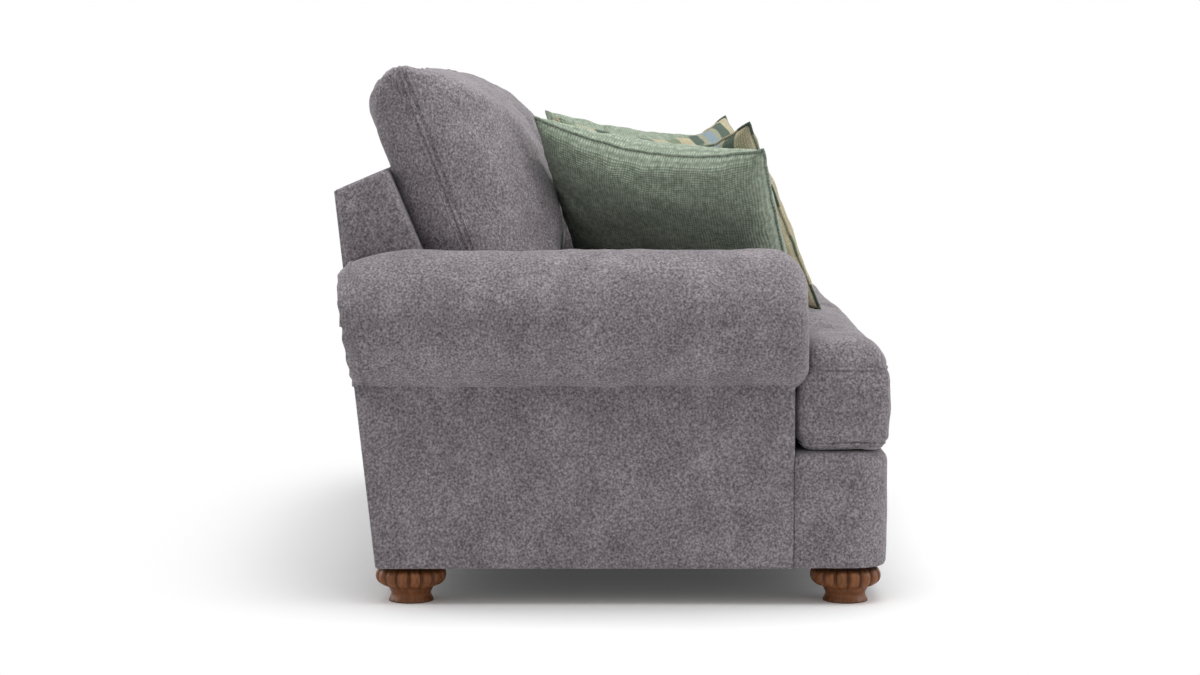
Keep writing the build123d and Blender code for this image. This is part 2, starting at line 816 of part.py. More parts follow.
# Throw pillows: knife-edged, leaning in the corner of arm and back, one in front of the other
def pillow_sections(skin):
    """Outlines of a square pillow about its middle plane, drawn in by the thickness of its cover."""
    corners = rectangle_corners(pillow_size - 4 * skin, pillow_size - 4 * skin)
    levels = [(1.0, 0.0)]
    for scale in crown_scales:
        rise = (pillow_thickness / 2 - skin) * crown_share(scale, pillow_crown_power)
        levels = [(scale, -rise)] + levels + [(scale, rise)]
    sections = []
    for scale, height in levels:
        scaled = [corner * scale for corner in corners]
        sections.append(soft_outline(scaled, pillow_corner * scale, pillow_draw_share, height))
    return sections


def pillow_plane(start, turn, lean, roll):
    """Plane of a pillow that faces the front, turned inwards, leaned back and rolled in its plane."""
    turn, lean, roll = radians(turn), radians(lean), radians(roll)
    face = Vector(cos(lean) * sin(turn), -cos(lean) * cos(turn), sin(lean))
    across = Vector(cos(turn), sin(turn), 0)
    up = face.cross(across)
    return Plane(origin=start, x_dir=across * cos(roll) + up * sin(roll), z_dir=face)


def before_back_cushion(point):
    """Distance of a point from the space that the back cushion lifts through."""
    return (point - cushion_plane.origin).dot(back_lean_front) - back_cushion_front_depth


def beside_pillow(plane):
    """Distance function of a pillow that lies on a plane."""
    half = pillow_size / 2

    def distance(point):
        local = plane.to_local_coords(point)
        reach = max(abs(local.X), abs(local.Y)) / half
        crown = pillow_thickness / 2 * crown_share(min(reach, 1.0), pillow_crown_power)
        aside = hypot(max(abs(local.X) - half, 0), max(abs(local.Y) - half, 0))
        return hypot(aside, max(abs(local.Z) - crown, 0)) * settle_caution

    return distance


pillow_outlines = pillow_sections(0)


def rested_plane(plane, moves):
    """Plane of a pillow, moved along each direction in turn until it meets the supports of that move."""
    for direction, supports, rest_gap in moves:
        shift = settled(outline_points(pillow_outlines, plane), supports, direction, rest_gap)
        plane = Plane(origin=plane.origin + shift, x_dir=plane.x_dir, z_dir=plane.z_dir)
    return plane


def pillow_pieces(plane):
    """Cover and insert of a pillow on its plane."""
    outer, cavity, insert = [
        cushion_solid(pillow_sections(skin)).moved(plane.location)
        for skin in (0, cover_thickness, cover_gap)
    ]
    return outer - cavity, insert


backwards = Vector(0, 1, 0)
plain_start = Vector(-arm_inner + plain_pillow_arm_gap, -plain_pillow_forward, pillow_start_height)
striped_start = Vector(-striped_pillow_middle_gap, -striped_pillow_forward, pillow_start_height)
plain_plane = rested_plane(
    pillow_plane(plain_start, plain_pillow_turn, plain_pillow_lean, plain_pillow_roll),
    (
        (backwards, [before_back_cushion], soft_gap),
        (back_lean_up * -1, [above_seat, beside_arm], soft_gap),
    ),
)
beside_plain_pillow = beside_pillow(plain_plane)
striped_plane = rested_plane(
    pillow_plane(striped_start, striped_pillow_turn, striped_pillow_lean, striped_pillow_roll),
    (
        (back_lean_up * -1, [above_seat], pillow_hover),
        (backwards, [before_back_cushion, beside_plain_pillow], soft_gap),
        (plain_plane.y_dir * -1, [above_seat], pillow_rest),
    ),
)
plain_cover, plain_insert = pillow_pieces(plain_plane)
striped_cover, striped_insert = pillow_pieces(striped_plane)
for name, cover, insert in (
    ("plain_pillow", plain_cover, plain_insert),
    ("striped_pillow", striped_cover, striped_insert),
):
    nodes["left_" + name + "_cover"], nodes["right_" + name + "_cover"] = both_sides(cover)
    nodes["left_" + name + "_insert"], nodes["right_" + name + "_insert"] = both_sides(insert)

os.makedirs("parts", exist_ok=True)
for name, shape in nodes.items():
    export_step(shape, "parts/" + name + ".step")
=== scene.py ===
import json
from math import cos, pi, radians, sin, tan

import bmesh
import bpy
import numpy as np
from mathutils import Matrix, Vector, noise


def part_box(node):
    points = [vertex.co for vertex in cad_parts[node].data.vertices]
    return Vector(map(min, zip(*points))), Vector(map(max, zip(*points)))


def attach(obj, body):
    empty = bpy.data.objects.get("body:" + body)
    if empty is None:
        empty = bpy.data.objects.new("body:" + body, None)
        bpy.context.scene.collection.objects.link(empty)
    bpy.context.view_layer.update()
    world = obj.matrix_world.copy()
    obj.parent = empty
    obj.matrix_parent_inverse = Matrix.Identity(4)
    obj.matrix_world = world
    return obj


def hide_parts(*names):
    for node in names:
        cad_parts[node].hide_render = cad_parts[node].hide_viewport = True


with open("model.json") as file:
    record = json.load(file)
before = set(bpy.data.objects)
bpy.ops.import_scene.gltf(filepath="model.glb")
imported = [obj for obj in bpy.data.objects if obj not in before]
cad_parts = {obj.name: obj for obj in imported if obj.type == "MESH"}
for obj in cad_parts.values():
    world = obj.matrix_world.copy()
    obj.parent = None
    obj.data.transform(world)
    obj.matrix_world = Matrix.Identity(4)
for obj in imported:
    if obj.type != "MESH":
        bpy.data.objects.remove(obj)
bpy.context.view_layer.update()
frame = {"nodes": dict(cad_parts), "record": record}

nodes = frame["nodes"]
scene = bpy.context.scene
sides = {"left": -1, "right": 1}

# Sizes in metres that the covers share with the frame
inside_back_lean = radians(20.7)
back_cushion_rear = 0.0733
pillow_edge = 0.460
# Turn, lean and roll of each kind of pillow in degrees
pillow_turns = {"plain": (60.0, 45.0, 10.0), "striped": (55.0, 36.0, 0.0)}


def linear(code):
    """sRGB hex colour as linear RGBA."""
    parts = [int(code[place:place + 2], 16) / 255 for place in (1, 3, 5)]
    return [c / 12.92 if c <= 0.04045 else ((c + 0.055) / 1.055) ** 2.4 for c in parts] + [1.0]


# Pattern sizes in metres; the grain and the threads are coarser than real, so that they show
nap_patch = 0.070
nap_grain = 0.0042
nap_crease = 0.024
drawn_thread = 0.005
green_slub = 0.008
stripe_slub = 0.006
wood_grain = 0.006

# A wave texture repeats at this length divided by its scale
wave_repeat = 0.314


# Materials
def add(tree, kind, inputs=None, stops=None, **settings):
    """One shader node with its settings, its inputs set or linked, and a ramp's (place, colour) stops."""
    made = tree.nodes.new(kind)
    for key, value in settings.items():
        setattr(made, key, value)
    for key, value in (inputs or {}).items():
        if isinstance(value, bpy.types.NodeSocket):
            tree.links.new(value, made.inputs[key])
        else:
            made.inputs[key].default_value = value
    if stops:
        elements = made.color_ramp.elements
        while len(elements) < len(stops):
            elements.new(0.5)
        for element, (place, colour) in zip(elements, stops):
            element.position = place
            element.color = colour
    return made


def start_material(name):
    """Empty node material with its output and a principled shader."""
    material = bpy.data.materials.new(name)
    material.use_nodes = True
    tree = material.node_tree
    tree.nodes.clear()
    shader = add(tree, "ShaderNodeBsdfPrincipled")
    add(tree, "ShaderNodeOutputMaterial", {"Surface": shader.outputs[0]})
    return material, tree, shader


def grey(value):
    return [value, value, value, 1.0]


def set_surface(shader, **values):
    """Plain numbers on a shader's own sockets, named with underscores."""
    for key, value in values.items():
        shader.inputs[key.replace("_", " ")].default_value = value


def suede_material():
    """Brushed polyester microfibre: a short nap, so soft patches, a pebbly grain and a few pale creases.

    The nap's grain is about 1 mm; it is drawn at 4 mm so that it shows."""
    material, tree, shader = start_material("brushed_microfibre")
    place = add(tree, "ShaderNodeTexCoord").outputs["Object"]
    patch = add(tree, "ShaderNodeTexNoise",
                {"Vector": place, "Scale": 1 / nap_patch, "Detail": 5.0, "Roughness": 0.6})
    grain = add(tree, "ShaderNodeTexNoise",
                {"Vector": place, "Scale": 1 / nap_grain, "Detail": 2.0, "Roughness": 0.6})
    bend = add(tree, "ShaderNodeVectorMath", {0: patch.outputs["Color"], "Scale": 0.03}, operation="SCALE")
    bent = add(tree, "ShaderNodeVectorMath", {0: place, 1: bend.outputs[0]}, operation="ADD")
    crease = add(tree, "ShaderNodeTexVoronoi", {"Vector": bent.outputs[0], "Scale": 1 / nap_crease},
                 feature="DISTANCE_TO_EDGE")
    line = add(tree, "ShaderNodeValToRGB", {0: crease.outputs["Distance"]},
               [(0.0, grey(0.4)), (0.06, grey(0.0))])
    worn = add(tree, "ShaderNodeValToRGB", {0: patch.outputs["Fac"]},
               [(0.5, grey(0.0)), (0.7, grey(1.0))])
    mark = add(tree, "ShaderNodeMath", {0: line.outputs[0], 1: worn.outputs[0]}, operation="MULTIPLY")
    nap = add(tree, "ShaderNodeValToRGB", {0: patch.outputs["Fac"]},
              [(0.32, linear("#6f696d")), (0.5, linear("#777175")), (0.7, linear("#807a7e"))])
    speck = add(tree, "ShaderNodeValToRGB", {0: grain.outputs["Fac"]},
                [(0.30, grey(0.42)), (0.5, grey(0.98)), (0.70, grey(1.72))])
    cloth = add(tree, "ShaderNodeMix", {0: 1.0, 6: nap.outputs[0], 7: speck.outputs[0]},
                data_type="RGBA", blend_type="MULTIPLY")
    colour = add(tree, "ShaderNodeMix", {0: mark.outputs[0], 6: cloth.outputs[2], 7: linear("#a9a3a8")},
                 data_type="RGBA")
    bump = add(tree, "ShaderNodeBump", {"Strength": 0.45, "Distance": 0.0014, "Height": grain.outputs["Fac"]})
    tree.links.new(colour.outputs[2], shader.inputs["Base Color"])
    tree.links.new(bump.outputs[0], shader.inputs["Normal"])
    set_surface(shader, Roughness=0.92, Specular_IOR_Level=0.15, Sheen_Weight=0.2, Sheen_Roughness=0.45)
    return material


def woven_threads(tree, shader, cloth_place):
    """Over-and-under threads both ways of the cloth as bump; returns their height."""
    ways = []
    for direction in ("X", "Y"):
        wave = add(tree, "ShaderNodeTexWave",
                   {"Vector": cloth_place, "Scale": wave_repeat / drawn_thread, "Distortion": 0.5},
                   bands_direction=direction)
        ways.append(wave.outputs["Fac"])
    height = add(tree, "ShaderNodeMath", {0: ways[0], 1: ways[1]}, operation="MULTIPLY").outputs[0]
    bump = add(tree, "ShaderNodeBump", {"Strength": 0.7, "Distance": 0.0016, "Height": height})
    tree.links.new(bump.outputs[0], shader.inputs["Normal"])
    return height


def green_material():
    """Basket-woven cotton in mixed green yarns: a visible grid of thick threads, some lighter, some darker,
    with painted shade in the hollows between them.

    Threads of about 2 mm are drawn at 5 mm so that they show."""
    material, tree, shader = start_material("basket_woven_green")
    cloth_place = add(tree, "ShaderNodeUVMap").outputs[0]
    place = add(tree, "ShaderNodeTexCoord").outputs["Object"]
    height = woven_threads(tree, shader, cloth_place)
    slub = add(tree, "ShaderNodeTexNoise", {"Vector": place, "Scale": 1 / green_slub, "Detail": 2.0})
    yarn = add(tree, "ShaderNodeValToRGB", {0: slub.outputs["Fac"]},
               [(0.3, linear("#818f7b")), (0.5, linear("#97a492")), (0.7, linear("#adb8a6"))])
    # Painted shade: the hollows between the woven threads are darkened in the colour, on top of the bump.
    thread_shade = add(tree, "ShaderNodeValToRGB", {0: height}, [(0.0, grey(0.66)), (0.6, grey(1.08))])
    colour = add(tree, "ShaderNodeMix", {0: 1.0, 6: yarn.outputs[0], 7: thread_shade.outputs[0]},
                 data_type="RGBA", blend_type="MULTIPLY")
    tree.links.new(colour.outputs[2], shader.inputs["Base Color"])
    set_surface(shader, Roughness=0.88, Specular_IOR_Level=0.2, Sheen_Weight=0.12)
    return material


stripe_bands = (
    ("#b8b094", 0.038), ("#5a675c", 0.030), ("#9a9c88", 0.017), ("#8798a0", 0.032),
    ("#9a9c88", 0.017), ("#5a675c", 0.030), ("#b8b094", 0.038), ("#7f8d76", 0.030),
)


def stripe_material():
    """Ribbed cotton stripe in dyed yarns: flat bands of colour in a coarse weave.

    Threads of about 2 mm are drawn at 5 mm so that they show."""
    material, tree, shader = start_material("ribbed_cotton_stripe")
    cloth_place = add(tree, "ShaderNodeUVMap").outputs[0]
    axes = add(tree, "ShaderNodeSeparateXYZ", {0: cloth_place})
    repeat = sum(width for _, width in stripe_bands)
    share = add(tree, "ShaderNodeMath", {0: axes.outputs[0], 1: repeat}, operation="DIVIDE")
    turn = add(tree, "ShaderNodeMath", {0: share.outputs[0]}, operation="FRACT")
    stops = []
    start = 0.0
    for code, width in stripe_bands:
        stops.append((start / repeat, linear(code)))
        start += width
    band = add(tree, "ShaderNodeValToRGB", {0: turn.outputs[0]}, stops)
    band.color_ramp.interpolation = "CONSTANT"
    height = woven_threads(tree, shader, cloth_place)
    # Painted shade: the hollows between the woven threads are darkened in the colour, on top of the bump.
    thread_shade = add(tree, "ShaderNodeValToRGB", {0: height}, [(0.0, grey(0.74)), (0.6, grey(1.08))])
    slub = add(tree, "ShaderNodeTexNoise", {"Vector": cloth_place, "Scale": 1 / stripe_slub, "Detail": 2.0})
    tint = add(tree, "ShaderNodeValToRGB", {0: slub.outputs["Fac"]}, [(0.3, grey(0.84)), (0.7, grey(1.12))])
    woven = add(tree, "ShaderNodeMix", {0: 1.0, 6: band.outputs[0], 7: thread_shade.outputs[0]},
                data_type="RGBA", blend_type="MULTIPLY")
    colour = add(tree, "ShaderNodeMix", {0: 1.0, 6: woven.outputs[2], 7: tint.outputs[0]},
                 data_type="RGBA", blend_type="MULTIPLY")
    tree.links.new(colour.outputs[2], shader.inputs["Base Color"])
    set_surface(shader, Roughness=0.85, Specular_IOR_Level=0.2)
    return material


def stained_wood_material():
    """Turned birch, walnut staining wiped on, satin lacquer: fine upright grain, with painted shade darkening
    the grooves.
    """
    material, tree, shader = start_material("stained_turned_birch")
    place = add(tree, "ShaderNodeTexCoord").outputs["Object"]
    upright = add(tree, "ShaderNodeMapping", {0: place, "Scale": (1.0, 1.0, 0.14)})
    grain = add(tree, "ShaderNodeTexNoise",
                {"Vector": upright.outputs[0], "Scale": 1 / wood_grain, "Detail": 6.0, "Roughness": 0.65})
    colour = add(tree, "ShaderNodeValToRGB", {0: grain.outputs["Fac"]},
                 [(0.3, linear("#55300f")), (0.5, linear("#75431c")), (0.72, linear("#8b5527"))])
    # Painted shade: an ambient-occlusion mask darkens the wood's colour in the grooves of the turning.
    groove = add(tree, "ShaderNodeAmbientOcclusion", {"Distance": 0.014}, samples=8)
    groove_shade = add(tree, "ShaderNodeValToRGB", {0: groove.outputs["AO"]}, [(0.4, grey(0.3)), (0.95, grey(1.0))])
    # The stained grain's colour times the painted shade of the grooves.
    stained = add(tree, "ShaderNodeMix", {0: 1.0, 6: colour.outputs[0], 7: groove_shade.outputs[0]},
                  data_type="RGBA", blend_type="MULTIPLY")
    bump = add(tree, "ShaderNodeBump", {"Strength": 0.15, "Distance": 0.0005, "Height": grain.outputs["Fac"]})
    tree.links.new(stained.outputs[2], shader.inputs["Base Color"])
    tree.links.new(bump.outputs[0], shader.inputs["Normal"])
    set_surface(shader, Roughness=0.48, Specular_IOR_Level=0.4)
    return material


def inner_material(name, dark, light, grain_size, roughness, metallic=0.0, stretch=(1, 1, 1)):
    """Material inside the seat: two tones in a grain of a real size, with a little bump."""
    material, tree, shader = start_material(name)
    place = add(tree, "ShaderNodeTexCoord").outputs["Object"]
    drawn = add(tree, "ShaderNodeMapping", {0: place, "Scale": stretch})
    grain = add(tree, "ShaderNodeTexNoise",
                {"Vector": drawn.outputs[0], "Scale": 1 / grain_size, "Detail": 4.0})
    colour = add(tree, "ShaderNodeValToRGB", {0: grain.outputs["Fac"]},
                 [(0.35, linear(dark)), (0.65, linear(light))])
    bump = add(tree, "ShaderNodeBump", {"Strength": 0.2, "Distance": 0.0006, "Height": grain.outputs["Fac"]})
    tree.links.new(colour.outputs[0], shader.inputs["Base Color"])
    tree.links.new(bump.outputs[0], shader.inputs["Normal"])
    set_surface(shader, Roughness=roughness, Metallic=metallic)
    return material


finishes = {
    "upholstery_suede": suede_material(),
    "pillow_green": green_material(),
    "pillow_stripe": stripe_material(),
    "stained_wood": stained_wood_material(),
    "frame_hardwood": inner_material("planed_poplar", "#a88a5f", "#c4a779", 0.01, 0.7, stretch=(0.1, 0.1, 1)),
    "spring_steel": inner_material("oiled_spring_steel", "#5c5d60", "#77787b", 0.004, 0.4, metallic=1.0),
    "clip_plastic": inner_material("moulded_nylon", "#d5d4cc", "#e2e1da", 0.003, 0.5),
    "webbing": inner_material("woven_elastic_webbing", "#b7a886", "#cfc29f", 0.003, 0.85),
    "deck_cloth": inner_material("woven_deck_cloth", "#5a5558", "#6d676b", 0.003, 0.9),
    "dust_cloth": inner_material("spunbond_dust_cloth", "#101010", "#1c1c1c", 0.004, 0.9),
    "foam_padding": inner_material("open_cell_foam", "#d9cfae", "#e8dfc2", 0.003, 0.95),
    "cushion_fill": inner_material("polyester_fibre", "#e6e4df", "#f2f0ec", 0.01, 0.95),
}
for part in frame["record"]["subparts"]:
    mesh = nodes[part["node"]].data
    mesh.materials.clear()
    mesh.materials.append(finishes[part["material_slot"]])


# Making meshes
def dressed_piece(name, mesh, slot_name, body, replaced=()):
    """Object for a finished mesh: its finish, the body it rides on and the CAD nodes it stands for."""
    piece = bpy.data.objects.new(name, mesh)
    scene.collection.objects.link(piece)
    mesh.materials.clear()
    mesh.materials.append(finishes[slot_name])
    mesh.polygons.foreach_set("use_smooth", [True] * len(mesh.polygons))
    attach(piece, body)
    if replaced:
        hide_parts(*replaced)
    return piece


def mesh_points(mesh):
    points = np.zeros(len(mesh.vertices) * 3)
    mesh.vertices.foreach_get("co", points)
    return points.reshape(-1, 3)


def set_points(mesh, points):
    mesh.vertices.foreach_set("co", points.ravel())
    mesh.update()


def mesh_normals(mesh):
    normals = np.zeros(len(mesh.vertices) * 3)
    mesh.vertices.foreach_get("normal", normals)
    return normals.reshape(-1, 3)


def worked_mesh(mesh, kind, **settings):
    """Mesh that one modifier gives."""
    helper = bpy.data.objects.new("helper", mesh)
    scene.collection.objects.link(helper)
    modifier = helper.modifiers.new(kind, kind)
    for key, value in settings.items():
        setattr(modifier, key, value)
    graph = bpy.context.evaluated_depsgraph_get()
    made = bpy.data.meshes.new_from_object(helper.evaluated_get(graph))
    bpy.data.objects.remove(helper)
    return made


def mesh_from(name, work):
    """Mesh of a finished bmesh, with its faces turned outwards."""
    bmesh.ops.recalc_face_normals(work, faces=work.faces)
    mesh = bpy.data.meshes.new(name)
    work.to_mesh(mesh)
    work.free()
    return mesh


def smooth_points(mesh, rounds):
    """Rounds a mesh by moving every point half way to the middle of its neighbours."""
    points = mesh_points(mesh)
    edges = np.zeros(len(mesh.edges) * 2, dtype=int)
    mesh.edges.foreach_get("vertices", edges)
    edges = edges.reshape(-1, 2)
    count = np.bincount(edges.ravel(), minlength=len(points))[:, None]
    for _ in range(rounds):
        total = np.zeros_like(points)
        np.add.at(total, edges[:, 0], points[edges[:, 1]])
        np.add.at(total, edges[:, 1], points[edges[:, 0]])
        points += 0.5 * (total / count - points)
    set_points(mesh, points)


def rumple(mesh, depth, size, seed):
    """Pushes points in and out along their normals by soft noise of a size, as loose stuffing does."""
    points = mesh_points(mesh)
    normals = mesh_normals(mesh)
    shift = Vector((seed * 7.3, seed * 3.1, seed * 1.7))
    waves = [noise.fractal(Vector(point) / size + shift, 0.9, 2.0, 3) for point in points]
    set_points(mesh, points + normals * (depth * np.array(waves))[:, None])


pucker_size = 0.035


def pinch(mesh, point, normal, width, depth):
    """Draws a mesh in along the line where a plane cuts it, a little unevenly, as a sewn seam does."""
    points = mesh_points(mesh)
    normals = mesh_normals(mesh)
    away = np.abs((points - np.array(point)) @ np.array(normal)) / width
    pull = np.clip(1 - away, 0, 1) ** 2
    gather = [1 + 0.9 * noise.noise(Vector(spot) / pucker_size) if amount > 0 else 0
              for spot, amount in zip(points, pull)]
    set_points(mesh, points - normals * (depth * pull * np.array(gather))[:, None])


def thread_line(name, points, radius, body, slot_name, closed=True):
    """Thin sewn ridge or thread along points."""
    curve = bpy.data.curves.new(name, "CURVE")
    curve.dimensions = "3D"
    curve.bevel_depth = radius
    curve.bevel_resolution = 2
    spline = curve.splines.new("POLY")
    spline.points.add(len(points) - 1)
    for target, point in zip(spline.points, points):
        target.co = (*point, 1.0)
    spline.use_cyclic_u = closed
    curve.materials.append(finishes[slot_name])
    line = bpy.data.objects.new(name, curve)
    scene.collection.objects.link(line)
    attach(line, body)


def cut_line(mesh, point, normal):
    """Longest closed line where a plane cuts a mesh, in order."""
    work = bmesh.new()
    work.from_mesh(mesh)
    geometry = work.verts[:] + work.edges[:] + work.faces[:]
    cut = bmesh.ops.bisect_plane(work, geom=geometry, plane_co=point, plane_no=normal)["geom_cut"]
    neighbours = {}
    for item in cut:
        if isinstance(item, bmesh.types.BMEdge):
            first, second = item.verts
            neighbours.setdefault(first, []).append(second)
            neighbours.setdefault(second, []).append(first)
    loops = []
    unused = dict.fromkeys(neighbours)
    while unused:
        current = next(iter(unused))
        loop = []
        while current is not None:
            unused.pop(current)
            loop.append(current.co.copy())
            current = next((vert for vert in neighbours[current] if vert in unused), None)
        loops.append(loop)
    work.free()
    return max(loops, key=len)


def sewn_seam(name, mesh, point, normal, radius, body):
    """Rolled seam in the upholstery cloth where a plane cuts a mesh."""
    thread_line(name, cut_line(mesh, point, normal)[::3], radius, body, "upholstery_suede")


# Seat and back cushions: the filling's solid, rounded, swollen to its cover, gathered and rumpled
def stuffed_mesh(node, voxel, rounds, swell):
    """Soft mesh over a cushion's filling."""
    mesh = worked_mesh(nodes[node].data.copy(), "REMESH", mode="VOXEL", voxel_size=voxel)
    smooth_points(mesh, rounds)
    set_points(mesh, mesh_points(mesh) + mesh_normals(mesh) * swell)
    return mesh


def gather_corners(mesh, corners, reach, depth):
    """Folds that run out of the sewn corners of a cushion and fade with distance."""
    points = mesh_points(mesh)
    normals = mesh_normals(mesh)
    push = np.zeros(len(points))
    for index, corner in enumerate(corners):
        away = points - np.array(corner)
        distance = np.linalg.norm(away, axis=1)
        angle = np.arctan2(away[:, 2], away[:, 0])
        fold = np.sin(13 * angle + 1.7 * index) * np.clip(distance / 0.04, 0, 1) * np.exp(-distance / reach)
        push += depth * fold
    set_points(mesh, points + normals * push[:, None])


def pull_corner(mesh, corner, direction, reach):
    """Draws a corner of a cushion out to a point."""
    points = mesh_points(mesh)
    distance = np.linalg.norm(points - np.array(corner), axis=1)
    set_points(mesh, points + np.exp(-(distance / reach) ** 2)[:, None] * np.array(direction))


seat_seam_heights = {"top": 0.152, "bottom": 0.014}


def seat_cushion(side, sign):
    """Boxed seat cushion with a crown, a seam round its top edge and one round its bottom edge."""
    body = f"{side}_seat_cushion"
    mesh = stuffed_mesh(f"{side}_seat_cushion_core", 0.0065, 12, 0.004)
    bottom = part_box(f"{side}_seat_cushion_cover")[0].z
    seams = {name: bottom + height for name, height in seat_seam_heights.items()}
    for height in seams.values():
        pinch(mesh, (0, 0, height), (0, 0, 1), 0.016, 0.0045)
    rumple(mesh, 0.0030, 0.10, sign + 2)
    rumple(mesh, 0.0012, 0.03, sign + 3)
    dressed_piece(body, mesh, "upholstery_suede", body, (f"{body}_cover", f"{body}_core"))
    for name, height in seams.items():
        sewn_seam(f"{body}_{name}_seam", mesh, (0, 0, height), (0, 0, 1), 0.0030, body)


# The back cushion is fuller at the rear and, below a height, in front
rear_fullness = 0.16
belly_fullness = 0.085
belly_top = 0.72
belly_fade = 0.16
corner_inset = 0.012
stitch_offset = 0.011
cushion_front = Vector((0, -cos(inside_back_lean), sin(inside_back_lean)))
cushion_up = Vector((0, sin(inside_back_lean), cos(inside_back_lean)))


def back_cushion(side, sign):
    """Knife-edged back cushion: deep crown in front, a seam with two rows of stitches round its edge."""
    body = f"{side}_back_cushion"
    mesh = stuffed_mesh(f"{side}_back_cushion_insert", 0.0075, 14, 0.004)
    back_low, back_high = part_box("back_cover")
    top_edge = Vector((0, back_low.y + (back_high.z - back_low.z) * tan(inside_back_lean), back_high.z))
    seam_point = top_edge + cushion_front * back_cushion_rear
    low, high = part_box(f"{body}_cover")
    points = mesh_points(mesh)
    depth = (points - np.array(seam_point)) @ np.array(cushion_front)
    lower = np.clip((belly_top - points[:, 2]) / belly_fade, 0, 1)
    fuller = np.where(depth < 0, depth * rear_fullness, depth * belly_fullness * lower)
    set_points(mesh, points + fuller[:, None] * np.array(cushion_front))
    along = mesh_points(mesh) - np.array(seam_point)
    reach_up = (along @ np.array(cushion_up)).max()
    top = seam_point + cushion_up * (reach_up - corner_inset)
    outer = low.x if sign < 0 else high.x
    inner = high.x if sign < 0 else low.x
    corners = [Vector((outer - sign * corner_inset, top.y, top.z)),
               Vector((inner + sign * corner_inset, top.y, top.z))]
    pull_corner(mesh, corners[0], Vector((sign * 0.014, 0, 0)) + cushion_up * 0.020, 0.036)
    pull_corner(mesh, corners[1], cushion_up * 0.016, 0.034)
    gather_corners(mesh, corners, 0.07, 0.0045)
    pinch(mesh, seam_point, cushion_front, 0.018, 0.007)
    rumple(mesh, 0.0060, 0.16, sign + 5)
    rumple(mesh, 0.0018, 0.045, sign + 6)
    dressed_piece(body, mesh, "upholstery_suede", body, (f"{body}_cover", f"{body}_insert"))
    sewn_seam(f"{body}_seam", mesh, seam_point, cushion_front, 0.0042, body)
    for row, offset in enumerate((-stitch_offset, stitch_offset)):
        stitch_point = seam_point + cushion_front * offset
        sewn_seam(f"{body}_stitches_{row}", mesh, stitch_point, cushion_front, 0.0014, body)


for side, sign in sides.items():
    seat_cushion(side, sign)
    back_cushion(side, sign)


# Throw pillows: two sheets that meet in a sewn edge, slack towards the corners
# Finish, thickness, slump of the upper edge, shift from the CAD pillow's middle, and seed of the folds
pillow_forms = {
    "plain": ("pillow_green", 0.150, 0.042, (0, 0.024, 0), 3),
    "striped": ("pillow_stripe", 0.130, 0.064, (0, 0.045, -0.010), 8),
}


def pillow_axes(kind, sign):
    """Across, up and face directions of a pillow."""
    turn, lean, roll = [radians(angle) for angle in pillow_turns[kind]]
    face = Vector((cos(lean) * sin(turn), -cos(lean) * cos(turn), sin(lean)))
    across = Vector((cos(turn), sin(turn), 0))
    up = face.cross(across)
    across, up = across * cos(roll) + up * sin(roll), up * cos(roll) - across * sin(roll)
    return [Vector((axis.x * -sign, axis.y, axis.z)) for axis in (across, up, face)]


def pillow_place(u, v, layer, thickness, slump, seed):
    """Across, up and rise of a point of a pillow's sheet, for u and v from -1 to 1."""
    half = pillow_edge / 2
    crown = ((1 - u * u) * (1 - v * v)) ** 0.38
    wave = noise.fractal(Vector((u * 2.1 + seed, v * 2.1, layer)), 0.9, 2.0, 3)
    pucker = noise.noise(Vector((u * 8 + seed, v * 8, layer * 3)))
    rise = thickness / 2 * crown * (1 + 0.12 * wave) + 0.020 * (1 - crown) * crown * pucker
    across = u * half * (1 - 0.025 * (1 - v * v))
    up = v * half * (1 - 0.055 * (1 - u * u)) - slump * max(v, 0) ** 2 * (1 - u * u)
    edge_wave = 0.003 * noise.noise(Vector((u * 6 + seed, v * 6, 0)))
    return across + edge_wave, up + edge_wave, layer * rise


def throw_pillow(side, sign, kind):
    """Pillow of two sheets over one square grid, tucked in: the cloth's measure as UVs, and a sewn edge."""
    steps = 64
    slot_name, thickness, slump, tuck, seed = pillow_forms[kind]
    body = f"{side}_{kind}_pillow"
    low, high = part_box(f"{body}_cover")
    middle = (low + high) / 2 + Vector(tuck)
    across, up, face = pillow_axes(kind, sign)
    work = bmesh.new()
    uv = work.loops.layers.uv.new("cloth")
    cloth = {}
    sheets = {}
    shares = [-1 + 2 * step / steps for step in range(steps + 1)]
    for layer in (1, -1):
        grid = []
        for row, v in enumerate(shares):
            line = []
            for column, u in enumerate(shares):
                if layer == -1 and (row in (0, steps) or column in (0, steps)):
                    line.append(sheets[1][row][column])
                    continue
                x, y, rise = pillow_place(u, v, layer, thickness, slump, seed)
                vert = work.verts.new(middle + across * x + up * y + face * rise)
                cloth[vert] = (u * pillow_edge / 2, v * pillow_edge / 2)
                line.append(vert)
            grid.append(line)
        sheets[layer] = grid
        for row in range(steps):
            for column in range(steps):
                quad = work.faces.new([grid[row][column], grid[row][column + 1],
                                       grid[row + 1][column + 1], grid[row + 1][column]])
                for loop in quad.loops:
                    loop[uv].uv = cloth[loop.vert]
    grid = sheets[1]
    edge = grid[0][:-1] + [line[-1] for line in grid[:-1]]
    edge += grid[-1][:0:-1] + [line[0] for line in grid[:0:-1]]
    edge_points = [vert.co.copy() for vert in edge]
    mesh = mesh_from(body, work)
    dressed_piece(body, mesh, slot_name, body, (f"{body}_cover", f"{body}_insert"))
    thread_line(f"{body}_seam", edge_points, 0.0030, body, slot_name)


for side, sign in sides.items():
    for kind in pillow_forms:
        throw_pillow(side, sign, kind)


# Arms: the roll as one padded tube, an upright below it and the flat side panel
panel_thickness = 0.008


def outside_back(z):
    """Depth of the outside back's face at a height."""
    low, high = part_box("outside_back_panel")
    bottom = low.y + panel_thickness
    return bottom + (high.y - bottom) * (z - low.z) / (high.z - low.z)


